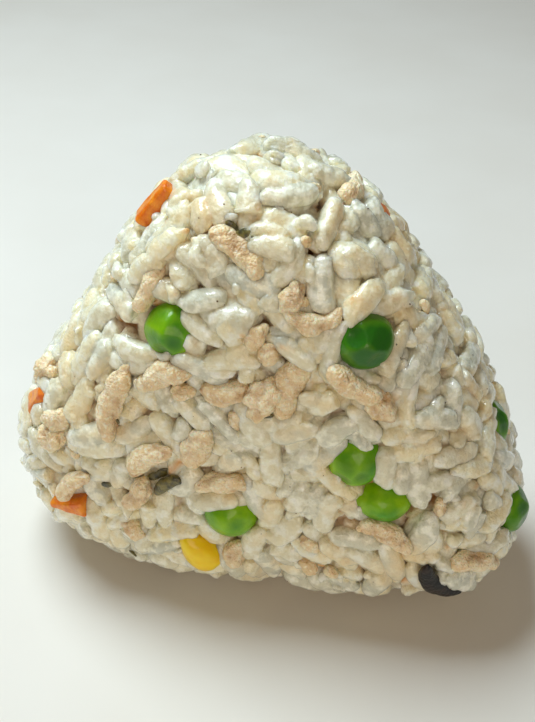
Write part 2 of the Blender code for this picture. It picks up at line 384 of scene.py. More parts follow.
# Soft lights: where each stands, how wide it is, its power in watts and its colour. All look at
# the ball's middle.
LIGHTS = {
    "window": ((-150.0, 60.0, 390.0), 240.0, 2.10, "#DEEEF6"),
    "room": ((80.0, -420.0, 200.0), 300.0, 0.60, "#FFEAD4"),
}
LIGHT_TARGET = Vector((0.0, 0.0, 30.0))
SKY_COLOUR = "#FFF2E0"
SKY_STRENGTH = 0.15


def aim(obj, place, target):
    """Puts an object at a place, in millimetres, looking at a target."""
    view = (target - place).to_track_quat("-Z", "Y").to_matrix().to_4x4()
    obj.matrix_world = Matrix.Translation(place * MM) @ view


def add_camera():
    data = bpy.data.cameras.new("camera")
    data.lens = CAMERA_LENS
    data.clip_start = 0.01
    camera = new_object("camera", data)
    level = CAMERA_DISTANCE * math.cos(CAMERA_ELEVATION)
    offset = Vector(
        (
            level * math.sin(CAMERA_TURN),
            -level * math.cos(CAMERA_TURN),
            CAMERA_DISTANCE * math.sin(CAMERA_ELEVATION),
        )
    )
    aim(camera, CAMERA_TARGET + offset, CAMERA_TARGET)
    camera.matrix_world = camera.matrix_world @ Matrix.Rotation(CAMERA_ROLL, 4, "Z")
    bpy.context.scene.camera = camera


def add_lights():
    for name, (place, size, power, colour) in LIGHTS.items():
        data = bpy.data.lights.new(name, "AREA")
        data.shape = "DISK"
        data.size = size * MM
        data.energy = power
        data.color = to_linear(colour)[:3]
        aim(new_object(name, data), Vector(place), LIGHT_TARGET)
    world = bpy.data.worlds.new("room light")
    bpy.context.scene.world = world
    world.use_nodes = True
    sky = world.node_tree.nodes["Background"]
    sky.inputs["Color"].default_value = to_linear(SKY_COLOUR)
    sky.inputs["Strength"].default_value = SKY_STRENGTH
    bpy.context.scene.view_settings.view_transform = "Standard"


def add_floor():
    mesh = bmesh.new()
    bmesh.ops.create_grid(mesh, x_segments=1, y_segments=1, size=FLOOR_SIZE * MM / 2)
    data = to_data(mesh, "floor")
    data.materials.append(floor_paint())
    floor = new_object("floor", data)


# ------------------------------------------------------------------ materials


def add_node(tree, kind, inputs=(), **settings):
    """Adds a node: settings are its properties, and inputs the values or sockets it is fed."""
    made = tree.nodes.new(kind)
    for name, value in settings.items():
        setattr(made, name, value)
    for name, value in dict(inputs).items():
        if isinstance(value, bpy.types.NodeSocket):
            tree.links.new(value, made.inputs[name])
        else:
            made.inputs[name].default_value = value
    return made


def new_material(name, **settings):
    """A Principled material with its plain settings, and the tree and shader to build on."""
    made = bpy.data.materials.new(name)
    made.use_nodes = True
    tree = made.node_tree
    shader = tree.nodes["Principled BSDF"]
    for setting, value in settings.items():
        shader.inputs[setting.replace("_", " ")].default_value = value
    return made, tree, shader


def blend_colours(tree, amount, first, second):
    """The colour between two, each a hex value or a socket, by amount from 0 to 1."""
    first, second = [to_linear(c) if isinstance(c, str) else c for c in (first, second)]
    fed = {0: amount, 6: first, 7: second}
    return add_node(tree, "ShaderNodeMix", fed, data_type="RGBA").outputs[2]


def stored(tree, name):
    """The value that a mesh keeps for each point under a name."""
    return add_node(tree, "ShaderNodeAttribute", attribute_name=name).outputs["Fac"]


def spots(tree, size, low, high, detail=3.0):
    """Cloudy patches of a real size in mm, from 0 below the value low to 1 above high."""
    cloud = add_node(
        tree,
        "ShaderNodeTexNoise",
        {
            "Vector": add_node(tree, "ShaderNodeTexCoord").outputs["Object"],
            "Scale": 1 / (size * MM),
            "Detail": detail,
        },
    )
    fit = add_node(
        tree,
        "ShaderNodeMapRange",
        {"Value": cloud.outputs["Fac"], "From Min": low, "From Max": high},
    )
    return fit.outputs["Result"]


def bump(tree, shader, height, depth):
    """Relief on the shader: height from 0 to 1 stands for that many millimetres."""
    made = add_node(tree, "ShaderNodeBump", {"Height": height, "Distance": depth * MM})
    tree.links.new(made.outputs["Normal"], shader.inputs["Normal"])


def paint(tree, shader, tone):
    """Gives the shader its colour."""
    tree.links.new(tone, shader.inputs["Base Color"])


def floor_paint():
    """Matte pale paint, which gives the eye a quiet ground."""
    made, tree, shader = new_material("pale_matte_paint", Roughness=0.75)
    tone = blend_colours(tree, spots(tree, 40.0, 0.3, 0.7), "#E4DFD6", "#E8E4DC")
    paint(tree, shader, tone)
    return made


def steamed_rice():
    """Steamed short-grain rice in light broth: a milky, see-through ivory that lets light wander
    inside it, greyer in the grains that swelled most, tan in the paste between them, partly broth
    tint and partly painted crease shade, and browner where it lies deeper, as painted shade."""
    made, tree, shader = new_material(
        "steamed_rice",
        Subsurface_Weight=1.0,
        Subsurface_Radius=(1.0, 0.95, 0.85),
        Subsurface_Scale=1.5 * MM,
        Roughness=0.30,
        IOR=1.42,
        Coat_Weight=0.85,
        Coat_Roughness=0.08,
    )
    grain = stored(tree, "grain")
    tone = blend_colours(tree, grain, "#F5EBC6", "#D0D2C2")
    tone = blend_colours(tree, spots(tree, 1.6, 0.46, 0.62), tone, "#FAF9E6")
    tone = blend_colours(tree, spots(tree, 7.0, 0.50, 0.75), tone, "#F0DCB0")
    # Partly painted shade: the paste between the grains is tan, partly broth tint and partly painted
    # crease shade.
    tone = blend_colours(tree, stored(tree, "web"), tone, "#DEA662")
    # Painted shade: rice that lies deeper, in the creases and under the top grains, is darkened to
    # brown.
    tone = blend_colours(tree, stored(tree, "sunk"), tone, "#BE8040")
    paint(tree, shader, tone)
    bump(tree, shader, spots(tree, 0.6, 0.3, 0.7), 0.16)
    return made


def pea_skin():
    """Boiled pea: a tight wet skin in two bright greens, darkened to deep green in its dents as
    painted shade.
    """
    made, tree, shader = new_material(
        "boiled_pea_skin",
        Subsurface_Weight=0.25,
        Subsurface_Radius=(0.5, 1.0, 0.15),
        Subsurface_Scale=1.0 * MM,
        Roughness=0.35,
        IOR=1.33,
        Coat_Weight=0.5,
        Coat_IOR=1.4,
        Coat_Roughness=0.05,
    )
    tone = blend_colours(tree, spots(tree, 3.5, 0.35, 0.65), "#56A000", "#92C40A")
    # Painted shade: the skin turns deep green in its dents; whole peas listed in PEA_SHADES are
    # darker too.
    tone = blend_colours(tree, stored(tree, "dent"), tone, "#23660A")
    paint(tree, shader, tone)
    bump(tree, shader, spots(tree, 0.9, 0.3, 0.7), 0.05)
    return made


def simmered_mince():
    """Simmered mince: dry tan protein in fine grains, with painted shade, browner, where it folds in
    on itself.
    """
    made, tree, shader = new_material(
        "simmered_mince",
        Subsurface_Weight=0.5,
        Subsurface_Radius=(1.0, 0.7, 0.45),
        Subsurface_Scale=0.8 * MM,
        Roughness=0.60,
        Coat_Weight=0.25,
        Coat_Roughness=0.25,
    )
    tone = blend_colours(tree, spots(tree, 2.4, 0.35, 0.65), "#ECD0A0", "#F8E7C2")
    tone = blend_colours(tree, spots(tree, 0.6, 0.52, 0.70), tone, "#FFF5DC")
    # Painted shade: the creases between the lumps are darkened to brown.
    tone = blend_colours(tree, stored(tree, "fold_shade"), tone, "#BD905C")
    paint(tree, shader, tone)
    bump(tree, shader, spots(tree, 0.45, 0.3, 0.7, 1.0), 0.22)
    return made


def stewed_mushroom():
    """Stewed shiitake cap: nearly black and wet, with dark brown patches."""
    made, tree, shader = new_material(
        "stewed_mushroom",
        Roughness=0.45,
        IOR=1.33,
        Coat_Weight=0.4,
        Coat_Roughness=0.08,
    )
    tone = blend_colours(tree, spots(tree, 1.5, 0.5, 0.8), "#0F0906", "#3D2A1E")
    paint(tree, shader, tone)
    bump(tree, shader, spots(tree, 0.5, 0.3, 0.7), 0.1)
    return made


def boiled_carrot():
    """Boiled carrot: wet orange flesh with paler patches."""
    made, tree, shader = new_material(
        "boiled_carrot",
        Subsurface_Weight=0.3,
        Subsurface_Radius=(1.0, 0.35, 0.08),
        Subsurface_Scale=1.2 * MM,
        Roughness=0.38,
        IOR=1.36,
        Coat_Weight=0.3,
        Coat_Roughness=0.1,
    )
    tone = blend_colours(tree, spots(tree, 1.4, 0.35, 0.65), "#DE6A0A", "#F59A22")
    paint(tree, shader, tone)
    bump(tree, shader, spots(tree, 0.5, 0.3, 0.7), 0.08)
    return made


def boiled_sweetcorn():
    """Boiled sweetcorn: a taut, wet, deep yellow skin."""
    made, tree, shader = new_material(
        "boiled_sweetcorn",
        Subsurface_Weight=0.3,
        Subsurface_Radius=(1.0, 0.7, 0.08),
        Subsurface_Scale=1.2 * MM,
        Roughness=0.35,
        IOR=1.36,
        Coat_Weight=0.35,
        Coat_Roughness=0.06,
    )
    tone = blend_colours(tree, spots(tree, 2.6, 0.35, 0.65), "#F8CA00", "#FCDF1C")
    paint(tree, shader, tone)
    bump(tree, shader, spots(tree, 1.2, 0.3, 0.7), 0.04)
    return made


def simmered_leaf():
    """Simmered leaf: wet, dull olive with darker patches."""
    made, tree, shader = new_material("simmered_leaf", Roughness=0.4, Coat_Weight=0.5)
    tone = blend_colours(tree, spots(tree, 1.0, 0.4, 0.6), "#3A391A", "#7A7030")
    paint(tree, shader, tone)
    bump(tree, shader, spots(tree, 0.4, 0.3, 0.7), 0.1)
    return made


def ground_pepper():
    """Coarsely ground pepper: dry, in two browns."""
    made, tree, shader = new_material("ground_pepper", Roughness=0.7)
    tone = blend_colours(tree, spots(tree, 3.0, 0.4, 0.6), "#3A2A1C", "#8A6844")
    paint(tree, shader, tone)
    return made


# ------------------------------------------------------------------ what the solids say


def nudged(node, places):
    """A topping's points moved to where its piece lies."""
    middle = (places.min(axis=0) + places.max(axis=0)) / 2
    scale, shift, turn = NUDGES.get(node, (1.0, (0.0, 0.0, 0.0), 0))
    spin = Matrix.Rotation(math.radians(turn), 3, Vector(outward(middle[None])[0]))
    return middle + scale * (places - middle) @ np.array(spin).T + shift


def corners_of(node):
    """The points of a topping, in millimetres."""
    return nudged(node, points_of(frame["nodes"][node].data))


def spheres_in(node, count):
    """Spheres in a row along a solid's length that fill it, as (centres, radii)."""
    points = corners_of(node)
    middle = (points.min(axis=0) + points.max(axis=0)) / 2
    _, _, axes = np.linalg.svd(points - points.mean(axis=0), full_matrices=False)
    halves = np.ptp(points @ axes.T, axis=0) / 2
    radius = (halves[1] + halves[2]) / 2
    run = max(halves[0] - radius, 0.0)
    steps = np.linspace(-run, run, count)[:, None]
    return middle + steps * axes[0], np.full(count, radius)


def grain_radii(grains):
    return SPHERE_SIZES * ((grains["width"] + grains["thickness"]) / 2)[:, None]


def fixed_spheres(placed):
    """Spheres that fill every topping, small crumb and placed grain, for the grains to settle
    around."""
    middles, _, _, _ = on_front(SMALL_CRUMBS, CRUMB_DEPTH)
    lengths = np.array(SMALL_CRUMBS)[:, 3]
    centres = [sphere_centres(placed).reshape(-1, 3), middles]
    radii = [grain_radii(placed).ravel(), CRUMB_BALL * lengths]
    for node in frame["nodes"]:
        if node != "rice_ball":
            found = spheres_in(node, 1 if node.startswith("pea") else 4)
            centres.append(found[0])
            radii.append(found[1])
    for middle, radius in pea_places():
        centres.append(middle + KEPT_CLEAR[0] * radius * outward(middle))
        radii.append(KEPT_CLEAR[1] * radius)
    return np.concatenate(centres), np.concatenate(radii)


def pea_places():
    """The middle and radius of each pea."""
    return [spheres_in(node, 1) for node in frame["nodes"] if node.startswith("pea")]


def off_the_peas(grains):
    """Which grains don't lie over a pea."""
    off = np.ones(len(grains["centre"]), bool)
    for middle, radius in pea_places():
        arms = sphere_centres(grains) - middle
        height = (arms @ outward(middle).T)[..., 0]
        aside = np.sqrt(np.maximum((arms**2).sum(axis=2) - height**2, 0))
        off &= ~((height > 0.3 * radius) & (height < 3 * radius) & (aside < radius)).any(axis=1)
    return off


# ------------------------------------------------------------------ how the grains settle


def start_grains(rng, count, shallow, deep):
    """Grains strewn through a layer of the ball between two depths, lying nearly flat in it."""
    ways = unit(rng.normal(size=(12 * count, 3)))
    reach = reach_along(ways, 0.0)
    facing = np.abs((outward(CENTRE + ways * reach[:, None]) * ways).sum(axis=1))
    areas = reach**2 / facing
    ways = ways[rng.choice(len(ways), count, replace=False, p=areas / areas.sum())]
    depth = rng.uniform(shallow, deep, count)
    centres = CENTRE + ways * (reach_along(ways, 0.0) - depth)[:, None]
    out = outward(centres)
    axes = unit(np.cross(out, rng.normal(size=(count, 3))))
    tilt = np.radians(rng.normal(0, 14, count))[:, None]
    axes = unit(axes * np.cos(tilt) + out * np.sin(tilt))
    return {
        "centre": centres,
        "axis": axes,
        "depth": depth,
        "length": GRAIN_LENGTH * np.clip(rng.normal(1.0, 0.10, count), 0.72, 1.18),
        "width": GRAIN_WIDTH * np.clip(rng.normal(1.0, 0.07, count), 0.84, 1.16),
        "thickness": GRAIN_THICKNESS * np.clip(rng.normal(1.0, 0.07, count), 0.84, 1.16),
    }


def on_front(places, depth):
    """Where given x and z meet the front at a depth, and the outward, level and upward
    directions there."""
    x, z = np.array(places)[:, :2].T
    near, far = np.full(len(x), 0.0), np.full(len(x), -60.0)
    for _ in range(HALVINGS):
        middle = (near + far) / 2
        inside = outside(np.stack([x, middle, z], axis=1)) < -depth
        near, far = np.where(inside, middle, near), np.where(inside, far, middle)
    centres = np.stack([x, near, z], axis=1)
    out = outward(centres)
    level = unit(np.cross((0.0, 0.0, 1.0), out))
    return centres, out, level, np.cross(out, level)


def turned_axes(turns, level, up):
    turns = np.radians(turns)[:, None]
    return level * np.cos(turns) + up * np.sin(turns)


def placed_grains(table, depth):
    """The grains of a table, lying in the front at a depth."""
    centres, _, level, up = on_front(table, depth)
    turns, lengths, widths = np.array(table)[:, 2:].T
    return {
        "centre": centres,
        "axis": turned_axes(turns, level, up),
        "depth": np.full(len(centres), depth),
        "length": lengths,
        "width": widths,
        "thickness": PLACED_THICKNESS * widths,
    }


def sphere_centres(grains):
    steps = SPHERE_PLACES * grains["length"][:, None] / 2
    return grains["centre"][:, None] + steps[:, :, None] * grains["axis"][:, None]


def near_pairs(centres, reach):
    """Every two grains whose middles are closer than reach."""
    gaps = np.linalg.norm(centres[:, None] - centres[None], axis=-1)
    first, second = np.nonzero(np.triu(gaps < reach, 1))
    return first, second


def push_apart(balls, radii, first, second, pushes):
    """Adds to pushes what takes the spheres of two grains out of one another."""
    gap = balls[first][:, :, None] - balls[second][:, None]
    far = np.linalg.norm(gap, axis=-1)
    rest = PRESSED_OVERLAP * (radii[first][:, :, None] + radii[second][:, None])
    press = np.maximum(rest - far, 0) / np.maximum(far, 1e-6) / 2
    moves = gap * press[..., None]
    np.add.at(pushes, first, moves.sum(axis=2))
    np.add.at(pushes, second, -moves.sum(axis=1))


def push_from_toppings(balls, radii, toppings, pushes):
    """Adds to pushes what takes the grains out of the toppings."""
    centres, sizes = toppings
    gap = balls[:, :, None] - centres
    far = np.linalg.norm(gap, axis=-1)
    rest = sizes + TOPPING_GRIP * radii[..., None]
    press = np.maximum(rest - far, 0) / np.maximum(far, 1e-6)
    pushes += (gap * press[..., None]).sum(axis=2)


def settle(grains, toppings):
    """Moves and turns the grains until they hardly overlap and the top ones make a full skin."""
    radii = grain_radii(grains)
    arms = SPHERE_PLACES * grains["length"][:, None] / 2
    for step in range(SETTLING_STEPS):
        if step % 6 == 0:
            first, second = near_pairs(grains["centre"], GRAIN_LENGTH * 1.25)
        balls = sphere_centres(grains)
        pushes = np.zeros_like(balls)
        push_apart(balls, radii, first, second, pushes)
        push_from_toppings(balls, radii, toppings, pushes)
        out = outward(grains["centre"])
        lift = -grains["depth"] - outside(grains["centre"])
        pushes += (DEPTH_PULL * lift[:, None] * out)[:, None] / len(SPHERE_PLACES)
        heights = outside(balls.reshape(-1, 3)).reshape(radii.shape)
        proud = np.maximum(heights + PROUD_SHARE * radii, 0)
        pushes -= proud[..., None] * out[:, None]
        sunk = np.maximum(radii - balls[..., 2], 0)
        pushes[..., 2] += sunk
        grains["centre"] = grains["centre"] + STEP_SHARE * pushes.mean(axis=1)
        swing = (pushes * arms[..., None]).sum(axis=1) / (arms**2).sum(axis=1)[:, None]
        axes = unit(grains["axis"] + STEP_SHARE * swing)
        upright = (axes * out).sum(axis=1, keepdims=True)
        excess = upright - np.clip(upright, -MOST_LEAN, MOST_LEAN)
        grains["axis"] = unit(axes - LEAN_PULL * excess * out)


def take(grains, chosen):
    return {name: values[chosen] for name, values in grains.items()}


def join(first, second):
    """Two sets of grains as one, with what both are known by."""
    names = [name for name in first if name in second]
    return {name: np.concatenate([first[name], second[name]]) for name in names}


# ------------------------------------------------------------------ grains as meshes


def ring_grid(rings, around):
    """Places over a grain: how far along (-1 to 1) and which way round, ends included."""
    steps = np.arange(1, rings + 1) / (rings + 1)
    along = -np.cos(math.pi * steps)
    turn = 2 * math.pi * np.arange(around) / around
    return (
        np.concatenate([[-1.0], np.repeat(along, around), [1.0]]),
        np.concatenate([[0.0], np.tile(turn, rings), [0.0]]),
    )


def ring_faces(rings, around):
    """The faces of such a grain, by the numbers of their corners."""

    def corner(ring, step):
        return 1 + ring * around + step % around

    faces = []
    last = rings * around + 1
    for step in range(around):
        faces.append((0, corner(0, step + 1), corner(0, step)))
        faces.append((last, corner(rings - 1, step), corner(rings - 1, step + 1)))
        for ring in range(rings - 1):
            corners = ((ring, step), (ring, step + 1), (ring + 1, step + 1), (ring + 1, step))
            faces.append(tuple(corner(*c) for c in corners))
    return faces


def bump_at(values, middle, spread):
    """A smooth hill over values that may wrap round a circle."""
    return np.exp(-(((values - middle) / spread) ** 2) / 2)


def turned(turn, middle):
    """How far round a circle turn is from middle, from -pi to pi."""
    return (turn - middle + math.pi) % (2 * math.pi) - math.pi


def grain_shapes(rng, grains, rings, around, burst=0.0, broken=False):
    """Local points of every grain (x along it, z out of the ball): blunt ends, a slight bend and
    taper, the notch of the germ, ridges along it, and lips where it burst or a cut-off end."""
    count = len(grains["centre"])
    along, turn = [values[None] for values in ring_grid(rings, around)]

    def each(low, high):
        return rng.uniform(low, high, (count, 1))

    blunt_start, blunt_end = each(2.7, 4.2), each(2.7, 4.2)
    reach = np.ones((count, 1))
    if broken:
        blunt_end, reach = each(4.5, 8.0), each(0.1, 0.75)
    bluntness = np.where(along < 0, blunt_start, blunt_end)
    round_ends = np.sqrt(np.clip(1 - np.abs(along) ** bluntness, 0, 1))
    side = round_ends * (1 + each(-0.14, 0.14) * along)
    for folds in (2, 3, 4, 5):
        side = side * (1 + each(-0.035, 0.035) * np.cos(folds * turn + each(0, 6.28)))
    notch = bump_at(along, each(0.6, 0.85), 0.14) * bump_at(turned(turn, each(0, 6.28)), 0, 0.7)
    side = side * (1 - each(0.05, 0.35) * notch)
    for _ in range(4 if burst else 0):
        lip = bump_at(along, each(-0.8, 0.8), each(0.12, 0.30))
        lip = lip * bump_at(turned(turn, each(0, 6.28)), 0, each(0.3, 0.7))
        side = side * (1 + burst * each(-0.7, 1.0) * lip)
    half = grains["length"][:, None] / 2
    places = np.stack(
        [
            along * half * np.where(along > 0, reach, 1.0),
            side * np.cos(turn) * grains["width"][:, None] / 2,
            side * np.sin(turn) * grains["thickness"][:, None] / 2,
        ],
        axis=-1,
    )
    rough = each(0.04, 0.10) + 0.35 * burst * each(0.0, 1.0)
    rise = rough * wobble(places, rng, 2.4) + 0.5 * rough * wobble(places, rng, 1.1)
    places = places * (1 + np.clip(rise, -0.5, 0.5) / GRAIN_WIDTH * 1.6)[..., None]
    bend = 1 - 2 * along**2
    places[..., 1] += each(-0.45, 0.45) * bend
    places[..., 2] += each(-0.25, 0.25) * bend
    return places


def pose_grains(rng, grains, places):
    """Takes local points to where the grains lie, and keeps them in the ball and off the table."""
    count = len(places)
    out = outward(grains["centre"])
    roll = rng.normal(0, 0.5, (count, 1))
    across = unit(np.cross(out, grains["axis"]))
    lift = np.cross(grains["axis"], across)
    across, lift = (
        across * np.cos(roll) + lift * np.sin(roll),
        lift * np.cos(roll) - across * np.sin(roll),
    )
    turns = np.stack([grains["axis"], across, lift], axis=1)
    posed = grains["centre"][:, None] + np.einsum("gpi,gij->gpj", places, turns)
    flat = posed.reshape(-1, 3)
    proud = outside(flat)
    excess = np.maximum(proud - 0.5, 0)
    flat = flat - (0.6 * excess)[:, None] * outward(flat)
    low = flat[:, 2] < EASE_FROM
    flat[low, 2] = TABLE_GAP + EASE_OVER * np.exp((flat[low, 2] - EASE_FROM) / EASE_OVER)
    return flat.reshape(posed.shape)


def mesh_of(name, places, corners, sizes):
    """A mesh from its points in millimetres, its faces' corners in a row, and the faces' sizes."""
    data = bpy.data.meshes.new(name)
    data.vertices.add(len(places))
    data.vertices.foreach_set("co", (places * MM).ravel())
    data.loops.add(len(corners))
    data.loops.foreach_set("vertex_index", corners)
    data.polygons.add(len(sizes))
    data.polygons.foreach_set("loop_start", np.cumsum(sizes) - sizes)
    data.update(calc_edges=True)
    return data


def shells_of(rng, grains, layout, **form):
    """A closed mesh for each grain."""
    rings, around = layout
    faces = ring_faces(rings, around)
    corners = np.concatenate([np.array(face) for face in faces])
    sizes = np.array([len(face) for face in faces])
    posed = pose_grains(rng, grains, grain_shapes(rng, grains, rings, around, **form))
    return [mesh_of("grain", places, corners, sizes) for places in posed]


def core_mesh():
    """The solid middle of the ball, as a mesh."""
    mesh = bmesh.new()
    bmesh.ops.create_icosphere(mesh, subdivisions=5, radius=1.0)
    ways = unit(np.array([vertex.co for vertex in mesh.verts]) * HALF_SIZE)
    points = CENTRE + ways * reach_along(ways, CORE_DEPTH)[:, None]
    points[:, 2] = np.maximum(points[:, 2], 1.0)
    for vertex, point in zip(mesh.verts, points):
        vertex.co = Vector(point) * MM
    return to_data(mesh, "core")


def block(low, high):
    """A block between two corners, as a mesh."""
    mesh = bmesh.new()
    bmesh.ops.create_cube(mesh, size=1.0)
    low, high = Vector(low), Vector(high)
    for vertex in mesh.verts:
        share = vertex.co + Vector((0.5, 0.5, 0.5))
        vertex.co = (low + (high - low) * share) * MM
    return to_data(mesh, "block")


def combine(operation, base, others):
    """The union or the common part of closed meshes, as one closed mesh."""
    group = bpy.data.collections.new("others")
    for data in others:
        group.objects.link(bpy.data.objects.new("other", data))
    whole = new_object("whole", base)
    boolean = whole.modifiers.new("combine", "BOOLEAN")
    boolean.operation = operation
    boolean.solver = "MANIFOLD"
    boolean.operand_type = "COLLECTION"
    boolean.collection = group
    graph = bpy.context.evaluated_depsgraph_get()
    made = bpy.data.meshes.new_from_object(whole.evaluated_get(graph))
    bpy.data.batch_remove([*group.objects, whole, group, base, *others])
    return made


def points_of(data):
    places = np.empty(len(data.vertices) * 3)
    data.vertices.foreach_get("co", places)
    return places.reshape(-1, 3) / MM


def drop_pores(data):
    """Takes out the walls of sealed pores: the shells of a mesh that enclose a negative volume."""
    mesh = bmesh.new()
    mesh.from_mesh(data)
    bmesh.ops.triangulate(mesh, faces=mesh.faces)
    left = set(mesh.verts)
    pores = []
    while left:
        front = [left.pop()]
        shell = list(front)
        while front:
            near = {edge.other_vert(vertex) for vertex in front for edge in vertex.link_edges}
            front = list(near & left)
            left -= near
            shell += front
        faces = {face for vertex in shell for face in vertex.link_faces}
        corners = ([vertex.co for vertex in face.verts] for face in faces)
        if sum(a.cross(b).dot(c) for a, b, c in corners) < 0:
            pores += shell
    bmesh.ops.delete(mesh, geom=pores, context="VERTS")
    mesh.to_mesh(data)
    mesh.free()


def tree_of(points):
    tree = KDTree(len(points))
    for number, point in enumerate(points):
        tree.insert(point, number)
    tree.balance()
    return tree


def bits_between(rng, grains, fixed, count, lengths):
    """Short pieces that have room between the grains and the fixed things laid so far."""
    many = 30 * count
    tries = start_grains(rng, many, *BIT_DEPTHS)
    tries["length"] = rng.uniform(*lengths, many)
    tries["width"] = tries["length"] * rng.uniform(0.5, 0.85, many)
    tries["thickness"] = tries["width"] * rng.uniform(0.65, 0.95, many)
    balls = sphere_centres(grains).reshape(-1, 3)
    radii = np.concatenate([grain_radii(grains).ravel(), fixed[1]])
    tree = tree_of(np.concatenate([balls, fixed[0]]))
    taken, middles = [], []
    for number, centre in enumerate(tries["centre"]):
        gap = min(far - radii[index] for _, index, far in tree.find_n(centre, 6))
        own = tries["width"][number] / 2
        clear = all((centre - other) @ (centre - other) > BIT_SPACING**2 for other in middles)
        if -0.35 * own < gap < 0.5 * own and clear:
            taken.append(number)
            middles.append(centre)
        if len(taken) == count:
            break
    return take(tries, np.array(taken))


def pasted(grains):
    """Copies of the top grains, wider and deeper, that close the creases between them."""
    copies = dict(grains)
    copies["centre"] = grains["centre"] - PASTE_DEPTH * outward(grains["centre"])
    for name in ("width", "thickness"):
        copies[name] = PASTE_SPREAD * grains[name]
    return copies


def zone_of(grains):
    """For each grain the number of its zone: front, back, left or right."""
    facing = outward(grains["centre"])[:, 1]
    side = np.where(grains["centre"][:, 0] < 0, 2, 3)
    return np.where(facing < -FACE_ZONE, 0, np.where(facing > FACE_ZONE, 1, side))


def zone_block(zone):
    """The block that holds a zone's part of the core."""
    low, high = [-ZONE_REACH] * 3, [ZONE_REACH] * 3
    if zone == 0:
        high[1] = -FACE_PLANE
    elif zone == 1:
        low[1] = FACE_PLANE
    else:
        low[1], high[1] = -FACE_PLANE, FACE_PLANE
        low[0], high[0] = (-ZONE_REACH, 0.0) if zone == 2 else (0.0, ZONE_REACH)
    return block(low, high)


def gaps_to(grains, places, owners):
    """How far each place is from the round-ended bars that its likely owners fill."""
    arms = places[:, None] - grains["centre"][owners]
    reach = ((grains["length"] - grains["width"]) / 2)[owners]
    along = np.einsum("poi,poi->po", arms, grains["axis"][owners])
    along = np.clip(along, -reach, reach)[..., None] * grains["axis"][owners]
    return np.linalg.norm(arms - along, axis=2) - grains["width"][owners] / 2


def finish_rice(name, data, grains, material):
    """Gives a rice mesh what its material reads: a tone for each grain, how far each point is
    from the nearest grain, which tells paste from grain, and how deep it lies."""
    drop_pores(data)
    places = points_of(data)
    balls = sphere_centres(grains)
    tree = tree_of(balls.reshape(-1, 3))
    near = [tree.find_n(place, 6) for place in places]
    owners = np.array([[index for _, index, _ in found] for found in near]) // balls.shape[1]
    gaps = gaps_to(grains, places, owners)
    owner = np.take_along_axis(owners, gaps.argmin(axis=1)[:, None], axis=1)[:, 0]
    store(data, "grain", grains["tone"][owner])
    # Paste between the grains, painted tan, partly broth tint and partly painted crease shade; then
    # depth, which the material darkens as painted shade.
    store(data, "web", np.clip((gaps.min(axis=1) - 0.25) / 0.55, 0, 1))
    store(data, "sunk", np.clip((-outside(places) - 0.9) / 2.4, 0, 1))
    add_piece(name, data, material, "rice", "rice_ball")


def lay_rice(rng, placed, fixed):
    """Strews, settles and builds all the grains, and presses them into one solid for each side.
    Gives back the top grains and the bits."""
    rice = steamed_rice()
    top = start_grains(rng, TOP_GRAINS, *TOP_DEPTHS)
    bed = start_grains(rng, BED_GRAINS, *BED_DEPTHS)
    grains = join(top, bed)
    settle(grains, fixed)
    is_top = np.arange(TOP_GRAINS + BED_GRAINS) < TOP_GRAINS
    clear = off_the_peas(grains)
    top, bed = join(take(grains, is_top & clear), placed), take(grains, ~is_top & clear)
    bits = bits_between(rng, join(top, bed), fixed, RICE_BITS, BIT_LENGTHS)
    for some in (top, bits):
        some["kind"] = rng.choice(3, len(some["centre"]), p=GRAIN_SHARES)
        some["tone"] = rng.uniform(0, 1, len(some["centre"]))
    forms = ({}, {"burst": 0.24}, {"burst": 0.12, "broken": True})
    for zone, name in enumerate(("rice_front", "rice_back", "rice_left", "rice_right")):
        here, loose = (take(some, zone_of(some) == zone) for some in (top, bits))
        shells = shells_of(rng, pasted(here), BED_RINGS)
        shells += shells_of(rng, take(bed, zone_of(bed) == zone), BED_RINGS)
        shells += shells_of(rng, loose, BIT_RINGS, burst=0.2)
        for kind, form in enumerate(forms):
            shells += shells_of(rng, take(here, here["kind"] == kind), TOP_RINGS, **form)
        core = combine("INTERSECT", core_mesh(), [zone_block(zone)])
        finish_rice(name, combine("UNION", core, shells), join(here, loose), rice)
    return join(top, bits)


# ------------------------------------------------------------------ toppings


def fine_copy(node, levels, rounded=True):
    """A finely divided copy of a solid, in metres, as a bmesh."""
    mesh = bmesh.new()
    mesh.from_mesh(frame["nodes"][node].data)
    bmesh.ops.remove_doubles(mesh, verts=mesh.verts, dist=0.01 * MM)
    data = to_data(mesh, "coarse")
    data.vertices.foreach_set("co", (nudged(node, points_of(data)) * MM).ravel())
    coarse = new_object("coarse", data)
    divide = coarse.modifiers.new("divide", "SUBSURF")
    divide.subdivision_type = "CATMULL_CLARK" if rounded else "SIMPLE"
    divide.levels = divide.render_levels = levels
    graph = bpy.context.evaluated_depsgraph_get()
    fine = bmesh.new()
    fine.from_mesh(coarse.evaluated_get(graph).to_mesh())
    bpy.data.objects.remove(coarse)
    bpy.data.meshes.remove(data)
    return fine


def size_up(mesh, node):
    """Scales a smoothed copy, in metres, back to its solid's size, in millimetres."""
    points = np.array([vertex.co for vertex in mesh.verts]) / MM
    low, high = points.min(axis=0), points.max(axis=0)
    solid = corners_of(node)
    scale = np.ptp(solid, axis=0) / (high - low)
    for vertex, point in zip(mesh.verts, solid.min(axis=0) + (points - low) * scale):
        vertex.co = Vector(point)
    mesh.normal_update()


def finish_copy(mesh, points):
    """A copy with its points at new places, given in millimetres, as a mesh in metres."""
    for vertex, point in zip(mesh.verts, points):
        vertex.co = Vector(point) * MM
    mesh.normal_update()
    return to_data(mesh, "fine")


def clump(place, size):
    """Packed round lumps of that size: 0 in the creases between them, 1 on top."""
    nearest = noise.voronoi(place / size)[0][0]
    return 1 - min(1.0, 1.3 * nearest**2)


